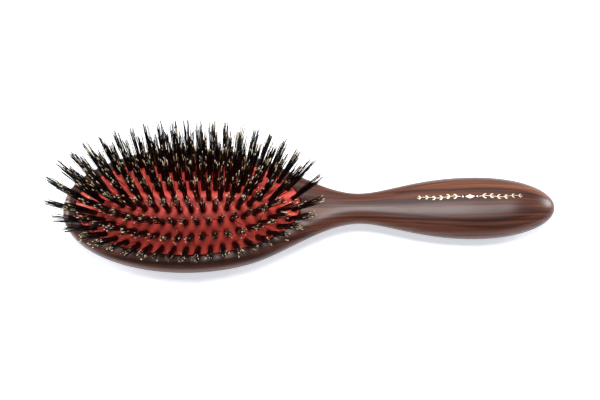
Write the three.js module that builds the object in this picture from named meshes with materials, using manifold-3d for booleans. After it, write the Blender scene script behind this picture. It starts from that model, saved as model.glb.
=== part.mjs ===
// Pneumatic cushion hairbrush: a one-piece wooden head and handle, a domed rubber pad whose flange sits
// in an undercut groove of the head, and concentric rows of bristle tufts, each row drawn onto one wire.
// Millimetres, +Z up. The origin is on the flat of the back, under the centre of the pad; the handle
// points along +X and the bristles along +Z.
import * as THREE from "three";
import { ParametricGeometry } from "three/addons/geometries/ParametricGeometry.js";
import { mergeVertices } from "three/addons/utils/BufferGeometryUtils.js";
import Module from "manifold-3d";

const wasm = await Module();
wasm.setup();

// ---- Driving dimensions -------------------------------------------------------------------------

// Head and pad, in plan.
const PAD_LENGTH = 102; // visible rubber, along X
const PAD_WIDTH = 47.4; // visible rubber, along Y
const RIM_WIDTH = 6.35; // wood left around the pad

// Neck and handle, in plan.
const NECK_GAP = 27; // end of the pad to the narrowest place of the neck
const NECK_WIDTH = 14.3;
const HANDLE_LENGTH = 89.6; // narrowest place of the neck to the tip
const HANDLE_WIDTH = 29.5;
const HANDLE_WIDEST = 0.59; // where along the handle it is widest, as a share of its length

// Side profile.
const RIM_HEIGHT = 14.5; // top of the rim above the table
const WIDEST_HEIGHT = 9.5; // where the head's side stands furthest out
const CROWN_OVER_RIM = 1.4; // the uncut top surface of the head stands this far over the rim
const NECK_TOP = 14.1;
const NECK_BOTTOM = 3.4;
const HANDLE_THICKNESS = 17.8;
const FLAT_DEPTH = 0.35; // how much of the rounded back is taken off flat at head and handle
const NOSE_ROUNDING = 10; // length over which the head's nose closes
const TIP_ROUNDING = 22; // length over which the handle's tip closes

// Pocket and pad.
const POCKET_FLOOR = 5.5; // height of the pocket's floor
const DOME_HEIGHT = 9; // top of the pad over the rim
const CROWN = 1.2; // how broadly the dome's crown turns between its flanks, as a share of the half width
const RUBBER = 1.6; // thickness of the rubber
const FLANGE_REACH = 1.7; // how far the flange stands out into the groove
const FLANGE_HEIGHT = 2.1;
const FLANGE_DROP = 1.8; // top of the flange under the rim
const FIT = 0.3; // gap left between pieces that touch
const VENT_RADIUS = 1.2;
const VENT_RING = 1; // the vent takes the place of this ring's tuft at the handle end of the long axis

// Bristles.
const RING_TUFTS = [42, 38, 32, 26]; // tufts in each closed ring, from the outer one in
const CENTRE_TUFTS = 11; // tufts in the straight row along the centre
const CENTRE_CLEARANCE = 3.3; // from the centre row's last tufts straight across to the inner ring
const OUTER_INSET = 2.5; // edge of the pad to the outer ring
const END_LEAN = 38; // degrees from upright that a tuft would have at the pad's ends
const FLANK_LEAN = 35; // and at its long edges
const END_RISE = 1.6; // how the lean builds up along the pad: above 1 it comes late, towards the ends
const FLANK_RISE = 0.7; // and across the pad: below 1 it comes soon, next to the centre
const TUFT_LENGTH = 22.5; // above the rubber
const TUFT_RADIUS = 1.05; // at its root
const TUFT_FLARE = 0.85; // how much wider it is at its tip
const BEAD_WALL = 0.5; // cement around the wire's tunnel
const BEAD_GAP = 0.75; // underside of the rubber to the nearest corner of an upright tuft's bead
const WIRE_RADIUS = 0.3;
const WIRE_STUB = 1; // wire that shows past the end of its bead
const WIRE_END_GAP = 1.4; // between the ends of the two wires of a ring

// Mesh fineness.
const SECTION_SIDES = 28; // points round the handle's section
const PAD_SIDES = 32; // points round the pad
const DOME_STEPS = 4; // rings of points from the pad's edge to its centre line
const TUFT_SIDES = 5;
const MERGE = 1e-3; // vertices closer than this are one

// ---- Values that follow -------------------------------------------------------------------------

const padX = PAD_LENGTH / 2; // half axes of the pad's edge
const padY = PAD_WIDTH / 2;
const headX = padX + RIM_WIDTH;
const headY = padY + RIM_WIDTH;
const neckX = padX + NECK_GAP;
const tipX = neckX + HANDLE_LENGTH;
const widestX = neckX + HANDLE_WIDEST * HANDLE_LENGTH;
const ringStep = (padY - OUTER_INSET) / RING_TUFTS.length;
const tunnelSide = 2 * (WIRE_RADIUS + FIT);
const beadSide = tunnelSide + 2 * BEAD_WALL;
const rootDepth = RUBBER + BEAD_GAP + beadSide * Math.SQRT1_2; // from the rubber's surface, along a tuft
const holeRadius = tuftRadius(RUBBER) + FIT;

const WOOD = { color: 0x4a2417, roughness: 0.38, metalness: 0 };
const RED_RUBBER = { color: 0xb8342c, roughness: 0.5, metalness: 0 };
const BRISTLE = { color: 0x14100e, roughness: 0.45, metalness: 0 };
const WIRE = { color: 0xb9b4a8, roughness: 0.3, metalness: 1 };

// Radius of a tuft at a height above the surface of the rubber.
function tuftRadius(height) {
  return TUFT_RADIUS + (TUFT_FLARE * (height + rootDepth)) / (TUFT_LENGTH + rootDepth);
}

// ---- Helpers ------------------------------------------------------------------------------------

// A three.js geometry as a manifold-3d solid.
function solid(geometry) {
  const bare = geometry.clone();
  bare.deleteAttribute("normal");
  bare.deleteAttribute("uv");
  const merged = mergeVertices(bare, MERGE);
  const corners = merged.index.array;
  const triangles = [];
  for (let i = 0; i < corners.length; i += 3) {
    const [a, b, c] = corners.slice(i, i + 3);
    if (a !== b && b !== c && c !== a) triangles.push(a, b, c);
  }
  return new wasm.Manifold(
    new wasm.Mesh({
      numProp: 3,
      vertProperties: merged.attributes.position.array,
      triVerts: new Uint32Array(triangles),
    }),
  );
}

// A manifold-3d solid as a named three.js mesh.
function mesh(name, body, finish) {
  const found = body.getMesh();
  const places = new Float32Array(found.numVert * 3);
  for (let i = 0; i < found.numVert; i++) {
    places.set(found.vertProperties.subarray(i * found.numProp, i * found.numProp + 3), i * 3);
  }
  const geometry = new THREE.BufferGeometry();
  geometry.setAttribute("position", new THREE.BufferAttribute(places, 3));
  geometry.setIndex(new THREE.BufferAttribute(found.triVerts, 1));
  geometry.computeVertexNormals();
  const made = new THREE.Mesh(geometry, new THREE.MeshStandardMaterial(finish));
  made.name = name;
  return made;
}

// The value at x of a curve through [place, value] pairs, level at each of them.
function profile(x, pairs) {
  let value = pairs[0][1];
  for (let i = 1; i < pairs.length; i++) {
    const [x0, v0] = pairs[i - 1];
    const [x1, v1] = pairs[i];
    if (x >= x0) value = THREE.MathUtils.lerp(v0, v1, THREE.MathUtils.smoothstep(x, x0, x1));
  }
  return value;
}

// An upright solid with an elliptical outline, from height low to height high.
function ellipticalDisc(halfX, halfY, low, high) {
  const outline = new THREE.Shape();
  outline.absellipse(0, 0, halfX, halfY, 0, 2 * Math.PI);
  const geometry = new THREE.ExtrudeGeometry(outline, {
    depth: high - low,
    bevelEnabled: false,
    curveSegments: PAD_SIDES,
  });
  return solid(geometry.translate(0, 0, low));
}

function box(x0, x1, halfY, z0, z1) {
  const geometry = new THREE.BoxGeometry(x1 - x0, 2 * halfY, z1 - z0);
  return solid(geometry.translate((x0 + x1) / 2, 0, (z0 + z1) / 2));
}

// ---- Head and handle ----------------------------------------------------------------------------

// Half the plan outline: the head's ellipse, an S-curve into the neck, the swell of the handle and its
// round tip. Each point is (x, half width).
function planOutline() {
  const joinX = 0.52 * headX; // where the ellipse gives way to the S-curve
  const joinAngle = Math.acos(joinX / headX);
  const joinY = headY * Math.sin(joinAngle);
  const joinSlope = -(headY * joinX) / (headX * headX * Math.sin(joinAngle));
  const leave = 0.31 * (neckX - joinX);
  const swell = widestX - neckX;
  const curves = [
    [new THREE.EllipseCurve(0, 0, headX, headY, Math.PI, joinAngle, true), 18],
    [
      new THREE.CubicBezierCurve(
        new THREE.Vector2(joinX, joinY),
        new THREE.Vector2(joinX + leave, joinY + joinSlope * leave),
        new THREE.Vector2(neckX - 0.33 * (neckX - joinX), NECK_WIDTH / 2),
        new THREE.Vector2(neckX, NECK_WIDTH / 2),
      ),
      8,
    ],
    [
      new THREE.CubicBezierCurve(
        new THREE.Vector2(neckX, NECK_WIDTH / 2),
        new THREE.Vector2(neckX + 0.23 * swell, NECK_WIDTH / 2),
        new THREE.Vector2(neckX + 0.49 * swell, HANDLE_WIDTH / 2),
        new THREE.Vector2(widestX, HANDLE_WIDTH / 2),
      ),
      8,
    ],
    [
      new THREE.EllipseCurve(widestX, 0, tipX - widestX, HANDLE_WIDTH / 2, Math.PI / 2, 0, true),
      10,
    ],
  ];
  return curves.flatMap(([curve, steps], i) => curve.getPoints(steps).slice(i ? 1 : 0));
}

// How far a round end has opened at a distance from its point, 0 to 1.
function opening(distance, length) {
  const share = THREE.MathUtils.clamp(distance / length, 0, 1);
  return Math.sqrt(1 - (1 - share) ** 2);
}

function bodySurface() {
  const stations = planOutline();
  const handleMiddle = HANDLE_THICKNESS / 2 - FLAT_DEPTH;
  return (u, v, target) => {
    const { x, y: halfWidth } = stations[Math.round(u * (stations.length - 1))];
    const ends = opening(x + headX, NOSE_ROUNDING) * opening(tipX - x, TIP_ROUNDING);
    const middle = profile(x, [[padX, WIDEST_HEIGHT], [neckX, WIDEST_HEIGHT], [widestX, handleMiddle]]);
    const top = profile(x, [
      [padX / 2, RIM_HEIGHT + CROWN_OVER_RIM],
      [neckX, NECK_TOP],
      [widestX, HANDLE_THICKNESS - FLAT_DEPTH],
    ]);
    const bottom = profile(x, [[padX / 2, -FLAT_DEPTH], [neckX, NECK_BOTTOM], [widestX, -FLAT_DEPTH]]);
    const angle = -2 * Math.PI * v;
    const [across, along] = [Math.cos(angle), Math.sin(angle)];
    const squareness = profile(x, along > 0 ? [[0, 3.6], [neckX, 2.2]] : [[0, 2.4], [neckX, 2.1]]);
    const bulge = (value) => Math.sign(value) * Math.abs(value) ** (2 / squareness);
    const reach = along > 0 ? top - middle : middle - bottom;
    target.set(x, halfWidth * bulge(across), middle + ends * reach * bulge(along));
  };
}

function handleBody() {
  const steps = planOutline().length - 1;
  const far = 2 * tipX;
  const rimCut = box(-far, neckX, far, RIM_HEIGHT, far);
  const backCut = box(-far, far, far, -far, 0);
  const pocket = ellipticalDisc(padX + FIT, padY + FIT, POCKET_FLOOR, far);
  const grooveReach = FLANGE_REACH + FIT;
  const grooveTop = RIM_HEIGHT - FLANGE_DROP + FIT;
  const groove = ellipticalDisc(
    padX + grooveReach,
    padY + grooveReach,
    grooveTop - FLANGE_HEIGHT - 2 * FIT,
    grooveTop,
  );
  return solid(new ParametricGeometry(bodySurface(), steps, SECTION_SIDES))
    .subtract(rimCut)
    .subtract(backCut)
    .subtract(pocket)
    .subtract(groove);
}

// ---- Rubber pad ---------------------------------------------------------------------------------

// Height of the dome over the rim at an inset from the pad's edge: a hyperbola, round at the crown and
// nearly straight down its flanks.
function domeHeight(inset) {
  const across = 1 - inset / padY;
  return (DOME_HEIGHT * (Math.hypot(1, CROWN) - Math.hypot(across, CROWN))) / (Math.hypot(1, CROWN) - CROWN);
}

// Slope of the dome at an inset, as an angle.
function domeSlope(inset) {
  const across = 1 - inset / padY;
  const fall = across / Math.hypot(across, CROWN) / (Math.hypot(1, CROWN) - CROWN);
  return Math.atan((DOME_HEIGHT / padY) * fall);
}

// The pad's section as [inset, height] pairs, from the top of the centre line out over the dome, down
// the skirt, round the flange and back under the dome.
function padSection() {
  const points = [];
  for (let i = 0; i <= DOME_STEPS; i++) {
    const inset = padY * (1 - i / DOME_STEPS);
    points.push([inset, RIM_HEIGHT + domeHeight(inset)]);
  }
  const flangeTop = RIM_HEIGHT - FLANGE_DROP;
  points.push([0, flangeTop], [-FLANGE_REACH, flangeTop]);
  points.push([-FLANGE_REACH, flangeTop - FLANGE_HEIGHT], [RUBBER, flangeTop - FLANGE_HEIGHT]);
  for (let i = 0; i <= DOME_STEPS; i++) {
    const inset = RUBBER + ((padY - RUBBER) * i) / DOME_STEPS;
    points.push([inset, RIM_HEIGHT + domeHeight(inset) - RUBBER / Math.cos(domeSlope(inset))]);
  }
  return points;
}

function cushionPad(tufts) {
  const section = padSection();
  const surface = (u, v, target) => {
    const [inset, height] = section[Math.round(u * (section.length - 1))];
    const angle = 2 * Math.PI * v;
    target.set((padX - inset) * Math.cos(angle), (padY - inset) * Math.sin(angle), height);
  };
  const shell = solid(new ParametricGeometry(surface, section.length - 1, PAD_SIDES));
  const drill = new THREE.CylinderGeometry(holeRadius, holeRadius, 4 * RUBBER, TUFT_SIDES);
  const ventInset = OUTER_INSET + VENT_RING * ringStep;
  const ventLean = domeSlope(ventInset);
  const vent = {
    place: new THREE.Vector3(padX - ventInset, 0, RIM_HEIGHT + domeHeight(ventInset)),
    direction: new THREE.Vector3(Math.sin(ventLean), 0, Math.cos(ventLean)),
  };
  const ventDrill = new THREE.CylinderGeometry(VENT_RADIUS, VENT_RADIUS, 4 * RUBBER, 2 * TUFT_SIDES);
  const cuts = tufts.map((tuft) => solid(stood(drill, tuft)));
  cuts.push(solid(stood(ventDrill, vent)));
  return shell.subtract(wasm.Manifold.union(cuts));
}

// ---- Tufts, their cement beads and wires --------------------------------------------------------

// A geometry made along +Y with its reference at the origin, stood at a place and pointing a direction.
function stood(geometry, { place, direction }) {
  const turn = new THREE.Quaternion().setFromUnitVectors(new THREE.Vector3(0, 1, 0), direction);
  return geometry.clone().applyQuaternion(turn).translate(place.x, place.y, place.z);
}

// A tuft at a point of the pad's plan. It leans out from the centre, more the further out it stands.
function tuftAt(x, y, inset) {
  const lean = (degrees, share, rise) =>
    Math.sin(THREE.MathUtils.degToRad(degrees)) * Math.sign(share) * Math.abs(share) ** rise;
  const leanX = lean(END_LEAN, x / padX, END_RISE);
  const leanY = lean(FLANK_LEAN, y / padY, FLANK_RISE);
  return {
    place: new THREE.Vector3(x, y, RIM_HEIGHT + domeHeight(inset)),
    direction: new THREE.Vector3(leanX, leanY, Math.sqrt(1 - leanX ** 2 - leanY ** 2)),
  };
}

// The tufts of one side of ring number ring, counted from the edge of the pad. Rings alternate between
// having a tuft on the brush's cross axis and straddling it, so that neighbours stagger. Where a ring
// has tufts on the long axis, each side takes one of them; the near side's may give way to the vent.
function ringTufts(ring, side) {
  const inset = OUTER_INSET + ring * ringStep;
  const count = RING_TUFTS[ring];
  const shift = ring % 2 === 1 ? 0.5 : 0;
  const start = side * (Math.PI / 2);
  const oval = new THREE.EllipseCurve(0, 0, padX - inset, padY - inset, start, start + 2 * Math.PI);
  oval.arcLengthDivisions = 2000;
  const tufts = [];
  for (let i = -Math.ceil(count / 4); i + shift <= count / 4; i++) {
    const givesWay = ring === VENT_RING && side < 0 && i + shift === count / 4;
    if (givesWay || i + shift <= -count / 4) continue;
    const { x, y } = oval.getPointAt(((i + shift + count) / count) % 1);
    tufts.push(tuftAt(x, y, inset));
  }
  return tufts;
}

// The straight row along the centre line.
function centreTufts() {
  const innerRing = padX - padY + ringStep; // half length of the inner ring, which is ringStep half wide
  const halfLength = innerRing * Math.sqrt(1 - (CENTRE_CLEARANCE / ringStep) ** 2);
  const step = (2 * halfLength) / (CENTRE_TUFTS - 1);
  return Array.from({ length: CENTRE_TUFTS }, (_, i) => tuftAt(i * step - halfLength, 0, padY));
}

function rootOf({ place, direction }) {
  return place.clone().addScaledVector(direction, -rootDepth);
}

// A curve through the roots of a row, running on past its last tufts at both ends.
function rootLine(tufts, overhang) {
  const roots = tufts.map(rootOf);
  const past = (from, end) => end.clone().add(end.clone().sub(from).setLength(overhang));
  return new THREE.CatmullRomCurve3([
    past(roots[1], roots[0]),
    ...roots,
    past(roots.at(-2), roots.at(-1)),
  ]);
}

function along(line, shape, steps) {
  return solid(new THREE.ExtrudeGeometry(shape, { extrudePath: line, steps, bevelEnabled: false }));
}

function square(side) {
  const half = side / 2;
  return new THREE.Shape([
    new THREE.Vector2(-half, -half),
    new THREE.Vector2(half, -half),
    new THREE.Vector2(half, half),
    new THREE.Vector2(-half, half),
  ]);
}

// How far a row's wire runs on past its last tufts.
function wireOverhang(tufts) {
  return (rootOf(tufts[0]).distanceTo(rootOf(tufts[1])) - WIRE_END_GAP) / 2;
}

// One row: flared tufts whose roots are folded round a wire and set in a bead of rubber cement. The
// wire's tunnel is cut through the bead.
function tuftRow(tufts) {
  const steps = tufts.length + 1;
  const outline = [
    new THREE.Vector2(0, -rootDepth),
    new THREE.Vector2(tuftRadius(-rootDepth), -rootDepth),
    new THREE.Vector2(tuftRadius(TUFT_LENGTH), TUFT_LENGTH),
    new THREE.Vector2(0, TUFT_LENGTH),
  ];
  const tuft = new THREE.LatheGeometry(outline, TUFT_SIDES);
  const bead = along(rootLine(tufts, wireOverhang(tufts) - WIRE_STUB), square(beadSide), steps);
  const tunnel = along(rootLine(tufts, wireOverhang(tufts)), square(tunnelSide), steps);
  const bundles = tufts.map((place) => solid(stood(tuft, place)));
  return wasm.Manifold.union([bead, ...bundles]).subtract(tunnel);
}

function rowWire(tufts) {
  const section = new THREE.Shape().absarc(0, 0, WIRE_RADIUS, 0, 2 * Math.PI);
  const corners = new THREE.Shape(section.getPoints(TUFT_SIDES).slice(0, TUFT_SIDES));
  return along(rootLine(tufts, wireOverhang(tufts)), corners, tufts.length + 1);
}

// ---- Assembly -----------------------------------------------------------------------------------

// Rows are numbered across the brush from its -Y side: the near halves of the rings from the outside
// in, the centre row, then the far halves from the inside out.
const rows = [];
for (let ring = 0; ring < RING_TUFTS.length; ring++) rows.push(ringTufts(ring, -1));
rows.push(centreTufts());
for (let ring = RING_TUFTS.length - 1; ring >= 0; ring--) rows.push(ringTufts(ring, 1));

const brush = new THREE.Group();
brush.add(mesh("handle_body", handleBody(), WOOD));
brush.add(mesh("cushion_pad", cushionPad(rows.flat()), RED_RUBBER));
rows.forEach((tufts, i) => {
  brush.add(mesh(`tuft_row_${i + 1}`, tuftRow(tufts), BRISTLE));
  brush.add(mesh(`row_wire_${i + 1}`, rowWire(tufts), WIRE));
});

export default brush;
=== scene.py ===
"""Looks for a cushion hairbrush: lacquered body, rubber cushion, bristle tufts, wires and ornament."""
import math

import bmesh
import bpy
import numpy as np
from mathutils import Matrix, Vector


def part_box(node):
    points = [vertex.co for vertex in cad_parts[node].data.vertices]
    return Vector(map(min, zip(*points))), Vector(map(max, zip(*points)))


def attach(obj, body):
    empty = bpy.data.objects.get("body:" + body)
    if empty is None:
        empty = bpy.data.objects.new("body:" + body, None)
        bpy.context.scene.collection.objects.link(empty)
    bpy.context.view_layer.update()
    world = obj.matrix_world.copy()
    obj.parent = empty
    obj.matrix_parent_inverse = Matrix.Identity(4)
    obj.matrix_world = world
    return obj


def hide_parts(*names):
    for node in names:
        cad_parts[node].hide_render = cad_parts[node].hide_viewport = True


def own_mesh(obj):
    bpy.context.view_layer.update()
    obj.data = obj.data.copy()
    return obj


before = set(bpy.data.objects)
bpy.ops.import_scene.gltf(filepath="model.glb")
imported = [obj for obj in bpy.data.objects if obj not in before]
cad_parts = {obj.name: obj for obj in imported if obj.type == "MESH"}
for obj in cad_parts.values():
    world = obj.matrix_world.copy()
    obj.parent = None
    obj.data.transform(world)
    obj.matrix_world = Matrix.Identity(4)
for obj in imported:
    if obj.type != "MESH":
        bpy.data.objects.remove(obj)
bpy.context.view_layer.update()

MM = 0.001

# ---- Sizes that repeat the part's own: lengths in millimetres, leans in degrees ------------------

body_low, body_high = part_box("handle_body")
_, pad_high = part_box("cushion_pad")

RIM_HEIGHT = 14.5
CROWN_OVER_RIM = 1.4
WIDEST_HEIGHT = 9.5
NECK_TOP = 14.1
NECK_BOTTOM = 3.4
NECK_WIDTH = 14.3
NECK_GAP = 27.0
HANDLE_THICKNESS = 17.8
HANDLE_WIDEST = 0.59
FLAT_DEPTH = 0.35
NOSE_ROUNDING = 10.0
TIP_ROUNDING = 22.0
POCKET_FLOOR = 5.5
RUBBER = 1.6
FLANGE_REACH = 1.7
FLANGE_HEIGHT = 2.1
FLANGE_DROP = 1.8
FIT = 0.3
RIM_WIDTH = 6.35
RING_TUFTS = [42, 38, 32, 26]
CENTRE_TUFTS = 11
CENTRE_CLEARANCE = 3.3
OUTER_INSET = 2.5
END_LEAN = 38.0
FLANK_LEAN = 35.0
END_RISE = 1.6
FLANK_RISE = 0.7
VENT_RING = 1
TUFT_LENGTH = 22.5
CROWN = 1.2
BEAD_RADIUS = 1.1
BEAD_GAP = 0.75
TUNNEL_RADIUS = 0.6
WIRE_STUB = 1.0
WIRE_END_GAP = 1.4
ROOT_DEPTH = RUBBER + BEAD_GAP + BEAD_RADIUS * math.sqrt(2)

HEAD_X = -body_low.x / MM
TIP_X = body_high.x / MM
PAD_X = HEAD_X - RIM_WIDTH
PAD_Y = pad_high.y / MM - FLANGE_REACH
HEAD_Y = PAD_Y + RIM_WIDTH
DOME_HEIGHT = pad_high.z / MM - RIM_HEIGHT
NECK_X = PAD_X + NECK_GAP
HANDLE_LENGTH = TIP_X - NECK_X
HANDLE_WIDTH = 29.5
WIDEST_X = NECK_X + HANDLE_WIDEST * HANDLE_LENGTH
RING_STEP = (PAD_Y - OUTER_INSET) / len(RING_TUFTS)
VENT_INSET = OUTER_INSET + VENT_RING * RING_STEP
HANDLE_MIDDLE = HANDLE_THICKNESS / 2 - FLAT_DEPTH
HANDLE_TOP = HANDLE_THICKNESS - FLAT_DEPTH

# How square the sections are: the exponent of a superellipse, at the head and from the neck on.
HEAD_TOP_SQUARENESS = 3.6
HEAD_BACK_SQUARENESS = 2.4
HANDLE_TOP_SQUARENESS = 2.2
HANDLE_BACK_SQUARENESS = 2.1

# ---- Sizes, counts and shares of the looks: lengths in millimetres, turns in radians ------------

MERGE_DISTANCE = 0.0008
POCKET_LIP = 0.45
POCKET_SIDES = 200
LIP_STEPS = 6
BODY_SIDES = 144
CUSHION_SIDES = 520
CUSHION_STEPS = 62
UNDERSIDE_STEPS = 14
FLANGE_ROUNDING = 0.3
VENT_RADIUS = 1.15
VENT_DEPTH = 1.3

VALLEY_WIDTH = 1.75
VALLEY_LENGTH = 2.6
VALLEY_DEPTH = 0.42
DIMPLE_RADIUS = 1.35
DIMPLE_DEPTH = 0.75
FLAT_SOFTNESS = 0.05
RIM_SOFTNESS = 0.32

BRISTLES_PER_TUFT = 30
BRISTLE_SIDES = 4
GOLDEN_ANGLE = 2.39996
ROOT_CUT = 0.4
ROOT_SPREAD = 0.88
TURN_SPREAD = 0.12
STRAY_SHARE = 0.05
STRAY_SPLAY = (0.03, 0.14)
STRAY_BEND = 1.5
USUAL_BEND = 0.3
SPLAY = 0.030
LEAN_SPREAD = 0.013
BRISTLE_RADIUS = (0.14, 0.19)
LONGEST = 1.03
SHORTER_BY = 0.38
LONG_TIP_SHARE = 0.3
LONG_TIP = (1.8, 4.5)
SHORT_TIP = (0.6, 1.8)
BLEND_LENGTH = 0.6
BLEND_REACH = 0.35
BEAD_SIDES = 10

rng = np.random.default_rng(41)


# ---- Mesh helpers -------------------------------------------------------------------------------

def mesh_object(name, points, faces):
    """A smooth-shaded mesh object from points in millimetres."""
    data = bpy.data.meshes.new(name)
    data.from_pydata((np.asarray(points, float) * MM).tolist(), [], faces)
    data.update()
    data.polygons.foreach_set("use_smooth", [True] * len(data.polygons))
    obj = bpy.data.objects.new(name, data)
    bpy.context.scene.collection.objects.link(obj)
    return obj


def grid_faces(rows, columns, wrap_rows, wrap_columns, start=0):
    """Quads over a grid of points stored row by row."""
    faces = []
    for i in range(rows if wrap_rows else rows - 1):
        a, b = i * columns, (i + 1) % rows * columns
        for j in range(columns if wrap_columns else columns - 1):
            k = (j + 1) % columns
            faces.append((start + a + j, start + a + k, start + b + k, start + b + j))
    return faces


def clean(obj):
    """Merges coincident points, drops flat faces and turns every face outwards."""
    bm = bmesh.new()
    bm.from_mesh(obj.data)
    bmesh.ops.remove_doubles(bm, verts=bm.verts, dist=MERGE_DISTANCE * MM)
    bmesh.ops.dissolve_degenerate(bm, edges=bm.edges, dist=MERGE_DISTANCE * MM)
    bmesh.ops.recalc_face_normals(bm, faces=bm.faces)
    bm.to_mesh(obj.data)
    bm.free()
    return obj


def face_outwards(obj):
    """Turns every face outwards and leaves the points as they are."""
    bm = bmesh.new()
    bm.from_mesh(obj.data)
    bmesh.ops.recalc_face_normals(bm, faces=bm.faces)
    bm.to_mesh(obj.data)
    bm.free()


def sharpen(obj, degrees):
    """Smooth shading, broken at edges that turn by more than an angle."""
    bm = bmesh.new()
    bm.from_mesh(obj.data)
    for edge in bm.edges:
        edge.smooth = len(edge.link_faces) != 2 or edge.calc_face_angle(0) < math.radians(degrees)
    for face in bm.faces:
        face.smooth = True
    bm.to_mesh(obj.data)
    bm.free()


def point_attribute(obj, name, values):
    """Stores a number or a vector for each point."""
    values = np.asarray(values, np.float32)
    kind, key = ("FLOAT_VECTOR", "vector") if values.ndim == 2 else ("FLOAT", "value")
    obj.data.attributes.new(name, kind, "POINT").data.foreach_set(key, values.ravel())


def points_of(obj):
    """A mesh object's points in millimetres."""
    co = np.zeros(len(obj.data.vertices) * 3)
    obj.data.vertices.foreach_get("co", co)
    return co.reshape(-1, 3) / MM


# ---- Node helpers -------------------------------------------------------------------------------

def new_material(name, **settings):
    """A material, its node tree and its shader, with constants on the shader's sockets."""
    material = bpy.data.materials.new(name)
    material.use_nodes = True
    shader = material.node_tree.nodes["Principled BSDF"]
    for key, value in settings.items():
        shader.inputs[key.replace("_", " ")].default_value = value
    return material, material.node_tree, shader


def node(tree, kind, inputs=None, **settings):
    made = tree.nodes.new(kind)
    for key, value in settings.items():
        setattr(made, key, value)
    for key, value in (inputs or {}).items():
        if isinstance(value, bpy.types.NodeSocket):
            tree.links.new(value, made.inputs[key])
        else:
            made.inputs[key].default_value = value
    return made


def ramp(tree, factor, stops):
    """A colour ramp through (place, colour) stops."""
    made = node(tree, "ShaderNodeValToRGB", {"Fac": factor})
    elements = made.color_ramp.elements
    while len(elements) < len(stops):
        elements.new(0.5)
    for element, (place, color) in zip(elements, stops):
        element.position = place
        element.color = (*color, 1)
    return made.outputs["Color"]


def attribute(tree, name):
    return node(tree, "ShaderNodeAttribute", attribute_name=name)


def scaled(tree, vector, scale):
    return node(tree, "ShaderNodeMapping", {"Vector": vector, "Scale": scale}).outputs["Vector"]


def noise(tree, vector, scale, detail=3.0, rough=0.5, distortion=0.0):
    return node(tree, "ShaderNodeTexNoise", {
        "Vector": vector, "Scale": scale, "Detail": detail, "Roughness": rough,
        "Distortion": distortion,
    }).outputs["Fac"]


def mix(tree, factor, a, b, blend="MIX"):
    """Mixes two colours; each input is a socket, a colour or a number."""
    made = node(tree, "ShaderNodeMix", data_type="RGBA", blend_type=blend)
    for socket, value in ((made.inputs[0], factor), (made.inputs[6], a), (made.inputs[7], b)):
        if isinstance(value, bpy.types.NodeSocket):
            tree.links.new(value, socket)
        elif isinstance(value, tuple):
            socket.default_value = (*value, 1)
        else:
            socket.default_value = value
    return made.outputs[2]


def maths(tree, operation, a, b=0.0, c=0.0, clamp=False):
    return node(tree, "ShaderNodeMath", {0: a, 1: b, 2: c}, operation=operation,
                use_clamp=clamp).outputs[0]


def bump(tree, shader, height, strength, distance):
    made = node(tree, "ShaderNodeBump", {
        "Height": height, "Strength": strength, "Distance": distance,
    })
    tree.links.new(made.outputs["Normal"], shader.inputs["Normal"])


# ---- Materials ----------------------------------------------------------------------------------

def wood_material():
    """Warm red-brown wood with near-black streaks along the grain, under satin lacquer."""
    material, tree, shader = new_material("lacquered_wood", Specular_IOR_Level=0.32)
    grain = attribute(tree, "grain").outputs["Vector"]
    streak = attribute(tree, "streak").outputs["Fac"]
    painted_far_light = attribute(tree, "painted_far_light").outputs["Fac"]
    bands = noise(tree, scaled(tree, grain, (5.5, 2.2, 26)), 1.0, 2.0, 0.5, 0.4)
    lines = noise(tree, scaled(tree, grain, (7, 7.5, 70)), 1.0, 3.0, 0.6, 0.5)
    fine = noise(tree, scaled(tree, grain, (14, 30, 230)), 1.0, 4.0, 0.6, 0.3)
    pores = noise(tree, scaled(tree, grain, (150, 150, 1500)), 1.0, 2.0, 0.5)
    base = ramp(tree, lines, [(0.32, (0.034, 0.010, 0.007)), (0.44, (0.072, 0.021, 0.013)),
                              (0.54, (0.108, 0.033, 0.019)), (0.68, (0.145, 0.050, 0.028))])
    # Painted light: the far half of the neck and handle is lightened, as if lit from behind.
    base = mix(tree, painted_far_light, base, (1.45, 1.55, 1.35), "MULTIPLY")
    dark = ramp(tree, bands, [(0.36, (0.8, 0.8, 0.8)), (0.46, (0.0, 0.0, 0.0))])
    ragged = maths(tree, "MULTIPLY_ADD", fine, 1.6, -0.8)
    drawn = maths(tree, "ADD", streak, maths(tree, "MULTIPLY", streak, ragged), clamp=True)
    color = mix(tree, dark, base, (0.020, 0.008, 0.007))
    color = mix(tree, drawn, color, (0.014, 0.006, 0.006))
    threads = ramp(tree, fine, [(0.36, (0.36, 0.32, 0.32)), (0.50, (1, 1, 1))])
    color = mix(tree, 0.7, color, threads, "MULTIPLY")
    tree.links.new(color, shader.inputs["Base Color"])
    rough = maths(tree, "MULTIPLY_ADD", fine, 0.16, 0.26)
    tree.links.new(rough, shader.inputs["Roughness"])
    bump(tree, shader, pores, 0.05, 0.0001)
    return material


def rubber_material():
    """Coral red rubber, cloudy and finely grained, with painted shade that darkens it in its dimples.
    """
    material, tree, shader = new_material("red_rubber", Specular_IOR_Level=0.3)
    place = node(tree, "ShaderNodeTexCoord").outputs["Object"]
    dimple_shade = attribute(tree, "dimple_shade").outputs["Fac"]
    cloud = noise(tree, place, 60.0, 3.0)
    grainy = noise(tree, place, 2600.0, 2.0)
    base = mix(tree, cloud, (0.66, 0.052, 0.036), (0.80, 0.086, 0.060))
    depth = ramp(tree, dimple_shade, [(0.0, (0, 0, 0)), (0.55, (0.55, 0.55, 0.55)), (1.0, (1, 1, 1))])
    # Painted shade: the rubber turns near black-red in the dimples round the tufts, along their
    # valleys and in the vent hole.
    color = mix(tree, depth, base, (0.10, 0.006, 0.006))
    tree.links.new(color, shader.inputs["Base Color"])
    tree.links.new(maths(tree, "MULTIPLY_ADD", grainy, 0.22, 0.36), shader.inputs["Roughness"])
    bump(tree, shader, grainy, 0.12, 0.00008)
    return material


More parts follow.
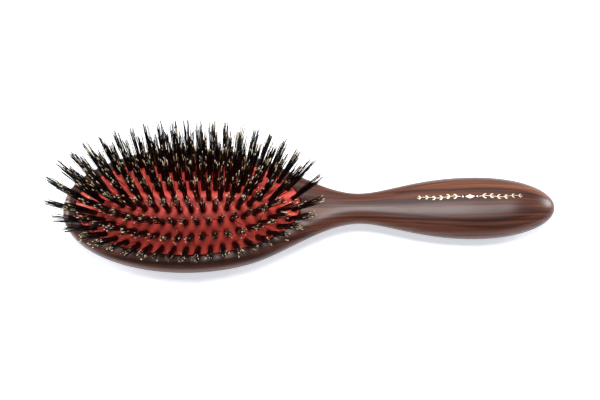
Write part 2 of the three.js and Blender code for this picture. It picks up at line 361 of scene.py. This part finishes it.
def bristle_material():
    """Black bristle; on about half of them the tip fades to brown or blond."""
    material, tree, shader = new_material("boar_bristle", Specular_IOR_Level=0.18)
    tip = attribute(tree, "tip").outputs["Fac"]
    tone = attribute(tree, "tone").outputs["Fac"]
    shaft = ramp(tree, tone, [(0.0, (0.002, 0.0015, 0.0015)), (0.8, (0.004, 0.003, 0.0025)),
                              (0.95, (0.022, 0.010, 0.005)), (1.0, (0.09, 0.040, 0.014))])
    pale = ramp(tree, tone, [(0.52, (0.005, 0.004, 0.004)), (0.62, (0.06, 0.025, 0.010)),
                             (0.70, (0.50, 0.28, 0.11)), (0.80, (0.95, 0.78, 0.48)),
                             (1.0, (1.0, 0.94, 0.78))])
    color = mix(tree, tip, shaft, pale)
    tree.links.new(color, shader.inputs["Base Color"])
    place = node(tree, "ShaderNodeTexCoord").outputs["Object"]
    rough = maths(tree, "MULTIPLY_ADD", noise(tree, place, 900.0), 0.2, 0.32)
    tree.links.new(rough, shader.inputs["Roughness"])
    return material


def cement_material():
    """Blotchy brown rubber cement."""
    material, tree, shader = new_material("rubber_cement", Roughness=0.6)
    place = node(tree, "ShaderNodeTexCoord").outputs["Object"]
    blotch = noise(tree, place, 420.0, 3.0)
    tree.links.new(mix(tree, blotch, (0.10, 0.03, 0.02), (0.22, 0.08, 0.05)),
                   shader.inputs["Base Color"])
    bump(tree, shader, blotch, 0.3, 0.0002)
    return material


def wire_material():
    """Lightly scratched metal wire."""
    material, tree, shader = new_material("drawn_wire", Metallic=1.0)
    place = node(tree, "ShaderNodeTexCoord").outputs["Object"]
    scratch = noise(tree, place, 1500.0, 3.0)
    tree.links.new(mix(tree, scratch, (0.50, 0.47, 0.42), (0.72, 0.70, 0.66)),
                   shader.inputs["Base Color"])
    tree.links.new(maths(tree, "MULTIPLY_ADD", scratch, 0.25, 0.2), shader.inputs["Roughness"])
    return material


def foil_material():
    """Worn gold foil."""
    material, tree, shader = new_material("gold_foil", Metallic=1.0)
    place = node(tree, "ShaderNodeTexCoord").outputs["Object"]
    wear = noise(tree, place, 1800.0, 3.0)
    tree.links.new(mix(tree, wear, (0.78, 0.55, 0.38), (0.98, 0.82, 0.66)),
                   shader.inputs["Base Color"])
    tree.links.new(maths(tree, "MULTIPLY_ADD", wear, 0.3, 0.25), shader.inputs["Roughness"])
    return material


# ---- Body shape ---------------------------------------------------------------------------------

def bezier(points, count):
    """Points along a cubic curve."""
    t = np.linspace(0, 1, count)[:, None]
    p = np.asarray(points, float)
    return ((1 - t) ** 3 * p[0] + 3 * t * (1 - t) ** 2 * p[1] + 3 * t * t * (1 - t) * p[2]
            + t ** 3 * p[3])


def plan_outline():
    """Points (x, half width) from the nose of the head to the tip of the handle."""
    join_x = 0.52 * HEAD_X  # where the head's oval turns into the neck's curve
    angle = math.acos(join_x / HEAD_X)
    join_y = HEAD_Y * math.sin(angle)
    slope = -HEAD_Y * join_x / (HEAD_X * HEAD_X * math.sin(angle))
    leave = 0.31 * (NECK_X - join_x)
    swell = WIDEST_X - NECK_X
    t = np.linspace(math.pi, angle, 150)[:, None]
    head = np.hstack([HEAD_X * np.cos(t), HEAD_Y * np.sin(t)])
    neck = bezier([(join_x, join_y), (join_x + leave, join_y + slope * leave),
                   (NECK_X - 0.33 * (NECK_X - join_x), NECK_WIDTH / 2), (NECK_X, NECK_WIDTH / 2)], 60)
    grip = bezier([(NECK_X, NECK_WIDTH / 2), (NECK_X + 0.23 * swell, NECK_WIDTH / 2),
                   (NECK_X + 0.49 * swell, HANDLE_WIDTH / 2), (WIDEST_X, HANDLE_WIDTH / 2)], 60)
    t = np.linspace(math.pi / 2, 0, 80)[:, None]
    tip = np.hstack([WIDEST_X + (TIP_X - WIDEST_X) * np.cos(t), HANDLE_WIDTH / 2 * np.sin(t)])
    return np.vstack([head, neck[1:], grip[1:], tip[1:]])


OUTLINE = plan_outline()


def half_width(x):
    """Half the body's width in plan at x."""
    return np.interp(x, OUTLINE[:, 0], OUTLINE[:, 1])


def profile(x, pairs):
    """The value at x of a curve through (place, value) pairs, level at each of them."""
    value = np.full_like(x, pairs[0][1], dtype=float)
    for (x0, v0), (x1, v1) in zip(pairs, pairs[1:]):
        t = np.clip((x - x0) / (x1 - x0), 0, 1)
        value = np.where(x >= x0, v0 + (v1 - v0) * t * t * (3 - 2 * t), value)
    return value


def opening(distance, length):
    """How far a round end has opened at a distance from its point, 0 to 1."""
    return np.sqrt(1 - (1 - np.clip(distance / length, 0, 1)) ** 2)


def soft_floor(z, level, softness):
    """z kept above a level, with a rounded turn."""
    return level + softness * np.logaddexp(0, (z - level) / softness)


def middle_line(x):
    """Height at which the body stands furthest out."""
    return profile(x, [(PAD_X, WIDEST_HEIGHT), (NECK_X, WIDEST_HEIGHT), (WIDEST_X, HANDLE_MIDDLE)])


def top_line(x):
    """Height of the body's top along its middle, before its ends close."""
    return profile(x, [(PAD_X / 2, RIM_HEIGHT + CROWN_OVER_RIM), (NECK_X, NECK_TOP),
                       (WIDEST_X, HANDLE_TOP)])


def body_section(x, width, angle):
    """Points of the body's sections at stations x, before the pocket is cut."""
    across, along = np.cos(angle), np.sin(angle)
    ends = opening(x + HEAD_X, NOSE_ROUNDING) * opening(TIP_X - x, TIP_ROUNDING)
    middle = middle_line(x)
    top = top_line(x)
    bottom = profile(x, [(PAD_X / 2, -FLAT_DEPTH), (NECK_X, NECK_BOTTOM), (WIDEST_X, -FLAT_DEPTH)])
    square = np.where(along > 0,
                      profile(x, [(0, HEAD_TOP_SQUARENESS), (NECK_X, HANDLE_TOP_SQUARENESS)]),
                      profile(x, [(0, HEAD_BACK_SQUARENESS), (NECK_X, HANDLE_BACK_SQUARENESS)]))
    reach = np.where(along > 0, top - middle, middle - bottom)
    y = width * np.sign(across) * np.abs(across) ** (2 / square)
    z = middle + ends * reach * np.sign(along) * np.abs(along) ** (2 / square)
    z = soft_floor(z, 0.0, FLAT_SOFTNESS)
    rim = -soft_floor(-z, -RIM_HEIGHT, RIM_SOFTNESS)
    cut_end, cut_fade = NECK_X - 4, 12
    share = np.clip((cut_end - x) / cut_fade, 0, 1)
    share = share * share * (3 - 2 * share)
    z = z + (rim - z) * share
    return np.stack([x + 0 * z, y, z], -1)


def oval_loft(name, section, count):
    """A closed solid from (reach, z) pairs, each an oval that stands reach outside the pad's edge."""
    t = np.linspace(0, 2 * math.pi, count, endpoint=False)
    rows = [np.stack([(PAD_X + r) * np.cos(t), (PAD_Y + r) * np.sin(t), 0 * t + z], -1)
            for r, z in section]
    faces = grid_faces(len(rows), count, False, True)
    faces.append(tuple(range(count)))
    faces.append(tuple(reversed(range((len(rows) - 1) * count, len(rows) * count))))
    return clean(mesh_object(name, np.concatenate(rows), faces))


def subtract(obj, cutter):
    """Cuts the cutter out of an object and removes the cutter."""
    modifier = obj.modifiers.new("cut", "BOOLEAN")
    modifier.operation = "DIFFERENCE"
    modifier.solver = "EXACT"
    modifier.object = cutter
    bpy.context.view_layer.update()
    cut = bpy.data.meshes.new_from_object(obj.evaluated_get(bpy.context.evaluated_depsgraph_get()))
    obj.modifiers.clear()
    obj.data = cut
    bpy.data.objects.remove(cutter)


# The darkest streaks of the handle and neck: where each starts and ends along the brush, and its
# place across it there as a share of the half width, then its half width and its darkness.
STREAKS = [
    (66, 168, 0.80, 0.74, 0.035, 0.75),
    (90, 168, 0.52, 0.34, 0.045, 0.9),
    (116, 160, 0.40, 0.30, 0.03, 0.5),
    (70, 150, 0.18, 0.12, 0.02, 0.45),
    (60, 160, -0.42, -0.62, 0.06, 0.85),
    (84, 164, -0.30, -0.50, 0.02, 0.6),
    (60, 168, -0.12, -0.16, 0.018, 0.5),
    (75, 168, -0.02, -0.02, 0.015, 0.35),
    (90, 168, -0.24, -0.32, 0.015, 0.45),
    (100, 166, -0.74, -0.82, 0.03, 0.6),
    (54, 96, 0.05, 0.30, 0.04, 0.6),
]


def drawn_streaks(x, share):
    """Darkness of the drawn streaks at points given by x and their share of the half width."""
    total = np.zeros_like(x)
    for start, end, first, last, spread, depth in STREAKS:
        t = np.clip((x - start) / (end - start), 0, 1)
        middle = first + (last - first) * t + 0.03 * np.sin(x / 9 + 7 * first)
        ends = np.clip(t * (1 - t) * 14, 0, 1)
        width = spread * (0.45 + 0.55 * ends) * (1 + 0.35 * np.sin(x / 6 + 20 * first))
        total = np.maximum(total, depth * ends * np.exp(-((share - middle) / width) ** 2))
    return total


def pocket_cutter():
    """The cushion's pocket and its undercut groove, with a rounded lip."""
    groove_top = RIM_HEIGHT - FLANGE_DROP + FIT
    groove_low = groove_top - FLANGE_HEIGHT - 2 * FIT
    section = [(FIT, POCKET_FLOOR), (FIT, groove_low), (FLANGE_REACH + FIT, groove_low),
               (FLANGE_REACH + FIT, groove_top), (FIT, groove_top)]
    for i in range(LIP_STEPS):
        turn = math.pi / 2 * i / (LIP_STEPS - 1)
        section.append((FIT + POCKET_LIP * (1 - math.cos(turn)),
                        RIM_HEIGHT - POCKET_LIP + POCKET_LIP * math.sin(turn)))
    above_the_rim = 8
    section.append((FIT + POCKET_LIP, RIM_HEIGHT + above_the_rim))
    return oval_loft("pocket_cutter", section, POCKET_SIDES)


def mark_grain(body):
    """Stores how the grain flows, where the drawn streaks run and where the far side of the handle is
    painted lighter, as painted light.
    """
    co = points_of(body)
    width = half_width(co[:, 0])
    usual_width, narrowest = 14.0, 5
    flow = co[:, 1] / (0.62 * np.maximum(width, narrowest) + 0.38 * usual_width)
    point_attribute(body, "grain", np.stack([co[:, 0] * MM, flow, co[:, 2] * MM], -1))
    share = co[:, 1] / np.maximum(width, 1)
    point_attribute(body, "streak", drawn_streaks(co[:, 0], share))
    # Painted light: a lighter band over the far half of the neck and handle, fading at the far edge.
    lit = np.clip((co[:, 0] - NECK_X + 10) / 40, 0, 1) * np.clip((share + 0.05) / 0.4, 0, 1)
    point_attribute(body, "painted_far_light", lit * np.clip((1.05 - share) / 0.3, 0, 1))


def make_body():
    """The wooden body with its pocket cut."""
    theta = np.linspace(0, 2 * math.pi, BODY_SIDES, endpoint=False)
    rows = [body_section(np.full(BODY_SIDES, x), w, theta) for x, w in OUTLINE]
    body = mesh_object("handle_wood", np.concatenate(rows),
                       grid_faces(len(rows), BODY_SIDES, False, True))
    clean(body)
    subtract(body, pocket_cutter())
    clean(body)
    sharpen(body, 32)
    mark_grain(body)
    body.data.materials.clear()
    body.data.materials.append(wood_material())
    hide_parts("handle_body")
    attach(body, "brush_body")


# ---- Tuft places --------------------------------------------------------------------------------

def dome_height(inset):
    """Height of the cushion over the rim at a distance in from the pad's edge."""
    across = 1 - np.clip(inset, 0, PAD_Y) / PAD_Y
    flat = math.hypot(1, CROWN)
    return DOME_HEIGHT * (flat - np.hypot(across, CROWN)) / (flat - CROWN)


def dome_slope(inset):
    """Slope of the cushion there, as an angle."""
    across = 1 - inset / PAD_Y
    fall = across / math.hypot(across, CROWN) / (math.hypot(1, CROWN) - CROWN)
    return math.atan(DOME_HEIGHT / PAD_Y * fall)


def tuft_at(x, y, inset):
    """(place, direction) of a tuft at a point of the pad's plan, leaning out from the centre."""
    lean_x = math.sin(math.radians(END_LEAN)) * math.copysign(abs(x / PAD_X) ** END_RISE, x)
    lean_y = math.sin(math.radians(FLANK_LEAN)) * math.copysign(abs(y / PAD_Y) ** FLANK_RISE, y)
    return (Vector((x, y, RIM_HEIGHT + float(dome_height(inset)))),
            Vector((lean_x, lean_y, math.sqrt(1 - lean_x ** 2 - lean_y ** 2))))


def ring_tufts(ring, side):
    """The tufts of one side of a ring, in order along it."""
    inset = OUTER_INSET + ring * RING_STEP
    turn = np.linspace(0, 2 * math.pi, 4001) + side * math.pi / 2
    line = np.stack([(PAD_X - inset) * np.cos(turn), (PAD_Y - inset) * np.sin(turn)], -1)
    walked = np.concatenate([[0], np.cumsum(np.linalg.norm(np.diff(line, axis=0), axis=1))])
    count = RING_TUFTS[ring]
    shift = 0.5 if ring % 2 == 1 else 0.0
    tufts = []
    for i in range(-math.ceil(count / 4), count):
        gives_way = ring == VENT_RING and side < 0 and i + shift == count / 4
        if -count / 4 < i + shift <= count / 4 and not gives_way:
            at = (i + shift + count) / count % 1 * walked[-1]
            x, y = np.interp(at, walked, line[:, 0]), np.interp(at, walked, line[:, 1])
            tufts.append(tuft_at(float(x), float(y), inset))
    return tufts


def centre_tufts():
    """The straight row along the centre line."""
    half_length = (PAD_X - PAD_Y + RING_STEP) * math.sqrt(1 - (CENTRE_CLEARANCE / RING_STEP) ** 2)
    step = 2 * half_length / (CENTRE_TUFTS - 1)
    return [tuft_at(i * step - half_length, 0.0, PAD_Y) for i in range(CENTRE_TUFTS)]


ROWS = [ring_tufts(ring, -1) for ring in range(len(RING_TUFTS))]
ROWS.append(centre_tufts())
ROWS += [ring_tufts(ring, 1) for ring in reversed(range(len(RING_TUFTS)))]
RINGS = ["outer_ring", "second_ring", "third_ring", "inner_ring", "centre_row"]
ROW_BODIES = RINGS + RINGS[-2::-1]


# ---- Cushion ------------------------------------------------------------------------------------

def cushion_dips_and_shade(x, y):
    """How far the rubber is drawn in around the tufts and the vent, as a depth in mm, and a painted
    shade from 0 to 1 that darkens it there.
    """
    depth = np.zeros_like(x)
    shade = np.zeros_like(x)
    for row in ROWS:
        for place, direction in row:
            dx, dy = x - place.x, y - place.y
            flat = Vector((direction.x, direction.y))
            ux, uy = (flat.normalized() if flat.length > 1e-6 else Vector((0.0, 1.0)))
            along, across = dx * ux + dy * uy, -dx * uy + dy * ux
            valley = np.exp(-(across / VALLEY_WIDTH) ** 2 - (along / VALLEY_LENGTH) ** 2)
            core = np.exp(-((dx * dx + dy * dy) / DIMPLE_RADIUS ** 2) ** 2)
            depth += VALLEY_DEPTH * valley + DIMPLE_DEPTH * core
            shade = np.maximum(shade, np.maximum(0.32 * valley, 0.95 * core))
    dx, dy = x - (PAD_X - VENT_INSET), y
    vent = np.exp(-((dx * dx + dy * dy) / VENT_RADIUS ** 2) ** 3)
    depth += VENT_DEPTH * vent
    shade = np.maximum(shade, vent)
    return depth, shade


def flange_section():
    """(inset, height) pairs round the skirt and flange, from the edge in to the underside."""
    top = RIM_HEIGHT - FLANGE_DROP
    low = top - FLANGE_HEIGHT
    turn = FLANGE_ROUNDING
    return [(0.02, RIM_HEIGHT + 0.1), (0.0, RIM_HEIGHT - 0.2), (0.0, top + turn), (-0.1, top + 0.06),
            (-turn, top), (-FLANGE_REACH + turn, top), (-FLANGE_REACH, top - turn),
            (-FLANGE_REACH, low + turn), (-FLANGE_REACH + turn, low), (RUBBER - turn, low),
            (RUBBER, low + turn)]


def underside_section():
    """(inset, height) pairs under the dome, from its edge to the middle."""
    pairs = []
    for i in range(UNDERSIDE_STEPS + 1):
        inset = RUBBER + (PAD_Y - RUBBER) * i / UNDERSIDE_STEPS
        under_dips = 0.25 * math.sin(math.pi * i / UNDERSIDE_STEPS)
        pairs.append((inset, RIM_HEIGHT + float(dome_height(inset))
                      - RUBBER / math.cos(dome_slope(inset)) - under_dips))
    return pairs


def make_cushion():
    """The rubber cushion: a dimpled dome, its skirt and flange, and its underside."""
    t = np.linspace(0, 2 * math.pi, CUSHION_SIDES, endpoint=False)
    rows, dimple_shades = [], []
    for i in range(CUSHION_STEPS):
        inset = PAD_Y * (1 - i / CUSHION_STEPS)
        x, y = (PAD_X - inset) * np.cos(t), (PAD_Y - inset) * np.sin(t)
        depth, shade = cushion_dips_and_shade(x, y)
        ease = np.clip(inset / 1.2, 0, 1)
        rows.append(np.stack([x, y, RIM_HEIGHT + dome_height(inset) - depth * ease], -1))
        dimple_shades.append(shade * ease)
    for inset, z in flange_section() + underside_section():
        x, y = (PAD_X - inset) * np.cos(t), (PAD_Y - inset) * np.sin(t)
        rows.append(np.stack([x, y, 0 * t + z], -1))
        # Painted shade: the skirt, flange and underside are darkened, most where they lie below the
        # rim.
        dimple_shades.append(np.full_like(t, 0.75 if z < RIM_HEIGHT else 0.35))
    faces = grid_faces(len(rows), CUSHION_SIDES, False, True)
    cushion = mesh_object("rubber_cushion", np.concatenate(rows), faces)
    point_attribute(cushion, "dimple_shade", np.concatenate(dimple_shades))
    clean(cushion)
    sharpen(cushion, 50)
    cushion.data.materials.append(rubber_material())
    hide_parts("cushion_pad")
    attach(cushion, "brush_body")
    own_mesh(cushion)


# ---- Bristles -----------------------------------------------------------------------------------

def side_axes(direction):
    """Two axes at right angles to a direction and to each other."""
    first = direction.cross(Vector((0.37, 0.93, 0))).normalized()
    return first, direction.cross(first).normalized()


def bristle_row(name, tufts, body, replaced):
    """Every tuft of a row as loose bristles, with the cement bead that holds their roots."""
    points, faces, tips, tones = [], [], [], []
    for place, direction in tufts:
        first, second = side_axes(direction)
        tuft_turn = rng.uniform(0, 2 * math.pi)
        for k in range(BRISTLES_PER_TUFT):
            spot = math.sqrt((k + 0.5) / BRISTLES_PER_TUFT)
            turn = tuft_turn + k * GOLDEN_ANGLE + rng.normal(0, TURN_SPREAD)
            out = first * math.cos(turn) + second * math.sin(turn)
            start = place + out * spot * ROOT_SPREAD - direction * (ROOT_DEPTH - ROOT_CUT)
            stray = rng.random() < STRAY_SHARE
            splay = SPLAY * spot + (rng.uniform(*STRAY_SPLAY) if stray else 0)
            lean = (direction + out * splay + first * rng.normal(0, LEAN_SPREAD)
                    + second * rng.normal(0, LEAN_SPREAD)).normalized()
            bend = first * rng.normal(0, 1) + second * rng.normal(0, 1)
            bend = bend * (STRAY_BEND if stray else USUAL_BEND)
            length = ROOT_DEPTH - ROOT_CUT + TUFT_LENGTH * (LONGEST - SHORTER_BY * rng.random() ** 1.6)
            thick = rng.uniform(*BRISTLE_RADIUS)
            tone = rng.random()
            long_tip = rng.random() >= 1 - LONG_TIP_SHARE
            pale_from = length - rng.uniform(*(LONG_TIP if long_tip else SHORT_TIP))
            u, v = side_axes(lean)
            base = len(points)
            stops = [0, 0.3 * length, 0.6 * length, pale_from - BLEND_REACH,
                     pale_from + BLEND_REACH, length]
            rings = len(stops)
            for s in stops:
                middle = start + lean * s + bend * (s / length) ** 2
                radius = thick * (1.0 - 0.22 * (s / length) ** 2)
                for j in range(BRISTLE_SIDES):
                    a = 2 * math.pi * j / BRISTLE_SIDES
                    points.append(middle + (u * math.cos(a) + v * math.sin(a)) * radius)
                    tips.append(min(max((s - pale_from) / BLEND_LENGTH + 0.5, 0.0), 1.0))
                    tones.append(tone)
            faces += grid_faces(rings, BRISTLE_SIDES, False, True, base)
            faces.append(tuple(base + j for j in range(BRISTLE_SIDES)))
            last = base + (rings - 1) * BRISTLE_SIDES
            faces.append(tuple(last + j for j in reversed(range(BRISTLE_SIDES))))
    slots = [0] * len(faces)
    bead, bead_faces = cement_bead(tufts, len(points))
    points += bead
    faces += bead_faces
    slots += [1] * len(bead_faces)
    tips += [0.0] * len(bead)
    tones += [0.0] * len(bead)
    row = mesh_object(name, [tuple(p) for p in points], faces)
    row.data.polygons.foreach_set("material_index", slots)
    point_attribute(row, "tip", tips)
    point_attribute(row, "tone", tones)
    face_outwards(row)
    row.data.materials.append(BRISTLE)
    row.data.materials.append(CEMENT)
    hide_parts(replaced)
    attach(row, body)


def cement_bead(tufts, start):
    """A tube of cement along the tufts' roots, hollow where the wire runs."""
    roots = [place - direction * ROOT_DEPTH for place, direction in tufts]
    overhang = ((roots[0] - roots[1]).length - WIRE_END_GAP) / 2 - WIRE_STUB
    line = [roots[0] + (roots[0] - roots[1]).normalized() * overhang, *roots,
            roots[-1] + (roots[-1] - roots[-2]).normalized() * overhang]
    outer, inner = [], []
    for i, point in enumerate(line):
        tangent = (line[min(i + 1, len(line) - 1)] - line[max(i - 1, 0)]).normalized()
        flat = Vector((0, 0, 1)).cross(tangent).normalized()
        up = tangent.cross(flat).normalized()
        turns = [2 * math.pi * j / BEAD_SIDES for j in range(BEAD_SIDES)]
        ring = [flat * math.cos(turn) + up * math.sin(turn) for turn in turns]
        outer.append([point + r * BEAD_RADIUS for r in ring])
        inner.append([point + r * TUNNEL_RADIUS for r in ring])
    rings = outer + inner[::-1]
    return [p for ring in rings for p in ring], grid_faces(len(rings), BEAD_SIDES, True, True, start)


# ---- Gold ornament ------------------------------------------------------------------------------

def top_height(x, y):
    """Height of the handle's top surface over a point of its plan."""
    square = HANDLE_TOP_SQUARENESS
    middle = middle_line(x)
    ends = opening(TIP_X - x, TIP_ROUNDING)
    across = np.clip(np.abs(y / half_width(x)), 0, 1) ** (square / 2)
    return middle + ends * (top_line(x) - middle) * np.sqrt(1 - across ** 2) ** (2 / square)


def strip(centre, half, segments):
    """Plan points of a ribbon that follows centre(t) with half width half(t), as left and right."""
    left, right = [], []
    for i in range(segments + 1):
        t = i / segments
        a, b = np.array(centre(max(t - 0.01, 0))), np.array(centre(min(t + 0.01, 1)))
        along = (b - a) / np.linalg.norm(b - a)
        side = np.array([-along[1], along[0]])
        c = np.array(centre(t))
        left.append(c + side * half(t))
        right.append(c - side * half(t))
    return left, right


def leaf_spray():
    """Ribbons of two stems with leaves either side of a lozenge between two dots."""
    x0, x1, y0 = NECK_X + 26, NECK_X + 74, 2.3
    middle = (x0 + x1) / 2
    ribbons = []

    def stem(side):
        start, end = middle + side * 4.2, (x1 if side > 0 else x0)
        return lambda t: (start + (end - start) * t, y0 + 0.35 * math.sin(t * 3 * math.pi))

    for side in (-1, 1):
        line = stem(side)
        ribbons.append(strip(line, lambda t: 0.11 * (1 - 0.4 * t), 40))
        for k in range(6):
            t = (k + 0.45) / 6
            foot = line(t)
            for up in (-1, 1):
                reach = 2.1 * (1 - 0.08 * k)
                tip = (foot[0] + side * reach * 0.86, foot[1] + up * reach * 0.5)

                def leaf(s, foot=foot, tip=tip, up=up):
                    return (foot[0] + (tip[0] - foot[0]) * s,
                            foot[1] + (tip[1] - foot[1]) * s + up * 0.28 * math.sin(math.pi * s))

                ribbons.append(strip(leaf, lambda s: 0.03 + 0.22 * math.sin(math.pi * s) ** 0.8, 14))
    ribbons.append(strip(lambda t: (middle - 2.2 + 4.4 * t, y0),
                         lambda t: 0.03 + 0.95 * (1 - abs(2 * t - 1)), 24))
    for side in (-1, 1):
        centre_x = middle + side * 3.3
        ribbons.append(strip(lambda t, c=centre_x: (c - 0.42 + 0.84 * t, y0),
                             lambda t: 0.02 + 0.42 * math.sqrt(max(1 - (2 * t - 1) ** 2, 0)), 12))
    return ribbons


def make_ornament():
    """A plain leaf spray in gold foil that lies on the handle and sinks a little into it."""
    points, faces = [], []
    row = 3
    for left, right in leaf_spray():
        base = len(points)
        count = len(left)
        for over in (0.035, -0.02):
            for a, b in zip(left, right):
                for w in (0, 0.5, 1):
                    p = a * (1 - w) + b * w
                    z = float(top_height(np.array(p[0]), np.array(p[1])))
                    points.append((p[0], p[1], z + over))

        def at(level, i, j):
            return base + level * count * row + i * row + j

        for i in range(count - 1):
            for j in range(row - 1):
                faces.append((at(0, i, j), at(0, i, j + 1), at(0, i + 1, j + 1), at(0, i + 1, j)))
                faces.append((at(1, i, j), at(1, i + 1, j), at(1, i + 1, j + 1), at(1, i, j + 1)))
            faces.append((at(0, i, 0), at(0, i + 1, 0), at(1, i + 1, 0), at(1, i, 0)))
            faces.append((at(0, i, 2), at(1, i, 2), at(1, i + 1, 2), at(0, i + 1, 2)))
        for i in (0, count - 1):
            faces.append((at(0, i, 0), at(1, i, 0), at(1, i, 1), at(0, i, 1)))
            faces.append((at(0, i, 1), at(1, i, 1), at(1, i, 2), at(0, i, 2)))
    ornament = mesh_object("foil_ornament", points, faces)
    face_outwards(ornament)
    sharpen(ornament, 40)
    ornament.data.materials.append(foil_material())
    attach(ornament, "brush_body")


# ---- The brush ----------------------------------------------------------------------------------

BRISTLE = bristle_material()
CEMENT = cement_material()
WIRE = wire_material()

make_body()
make_cushion()
make_ornament()
for number, (tufts, body) in enumerate(zip(ROWS, ROW_BODIES), 1):
    bristle_row(f"bristle_row_{number}", tufts, body, f"tuft_row_{number}")
    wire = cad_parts[f"row_wire_{number}"]
    wire.data.materials.clear()
    wire.data.materials.append(WIRE)

# ---- Floor, lights and camera -------------------------------------------------------------------

FLOOR_REACH = 3
FLOOR_GLOW = 0.6
WORLD_LIGHT = 0.22

floor_data = bpy.data.meshes.new("floor")
floor_corners = [(-FLOOR_REACH, -FLOOR_REACH, 0), (FLOOR_REACH, -FLOOR_REACH, 0),
                 (FLOOR_REACH, FLOOR_REACH, 0), (-FLOOR_REACH, FLOOR_REACH, 0)]
floor_data.from_pydata(floor_corners, [], [(0, 1, 2, 3)])
floor = bpy.data.objects.new("floor", floor_data)
bpy.context.scene.collection.objects.link(floor)
floor_material, floor_tree, floor_shader = new_material("pale_floor", Roughness=0.9)
floor_place = node(floor_tree, "ShaderNodeTexCoord").outputs["Object"]
floor_tree.links.new(
    mix(floor_tree, noise(floor_tree, floor_place, 6.0), (0.90, 0.91, 0.93), (0.93, 0.94, 0.96)),
    floor_shader.inputs["Base Color"])
floor_shader.inputs["Emission Color"].default_value = (0.90, 0.94, 1.0, 1)
floor_shader.inputs["Emission Strength"].default_value = FLOOR_GLOW
floor_data.materials.append(floor_material)

world = bpy.data.worlds.new("studio")
bpy.context.scene.world = world
world.use_nodes = True
world.node_tree.nodes["Background"].inputs["Color"].default_value = (0.93, 0.96, 1.0, 1)
world.node_tree.nodes["Background"].inputs["Strength"].default_value = WORLD_LIGHT


def area_light(name, place, target, size, power):
    """A rectangular white light at a place in metres, turned to its target."""
    data = bpy.data.lights.new(name, "AREA")
    data.shape = "RECTANGLE"
    data.size, data.size_y = size
    data.energy = power
    light = bpy.data.objects.new(name, data)
    light.location = place
    light.rotation_euler = (Vector(target) - Vector(place)).to_track_quat("-Z", "Y").to_euler()
    bpy.context.scene.collection.objects.link(light)


area_light("overhead", (0.07, 0.14, 1.1), (0.05, 0, 0), (0.55, 0.35), 11.5)
area_light("back", (0.0, 0.85, 0.95), (0.04, 0, 0), (1.2, 0.6), 3.5)
area_light("left", (-0.95, 0.3, 0.34), (0.0, 0, 0), (0.35, 0.5), 9)
area_light("right", (1.0, 0.38, 0.26), (0.1, 0, 0), (0.3, 0.4), 9)

ELEVATION = math.radians(68)
DISTANCE = 0.6
ROLL = math.radians(-0.5)
camera_data = bpy.data.cameras.new("camera")
camera = bpy.data.objects.new("camera", camera_data)
bpy.context.scene.collection.objects.link(camera)
bpy.context.scene.camera = camera
camera_data.sensor_width = 36
camera_data.lens = 78.8
target = Vector((51.0, 3.4, 12.0)) * MM
camera.location = target + Vector((0, -math.cos(ELEVATION), math.sin(ELEVATION))) * DISTANCE
look = (target - camera.location).to_track_quat("-Z", "Y").to_matrix().to_4x4()
camera.rotation_euler = (look @ Matrix.Rotation(ROLL, 4, "Z")).to_euler()
bpy.context.scene.view_settings.view_transform = "Standard"

bpy.context.view_layer.update()
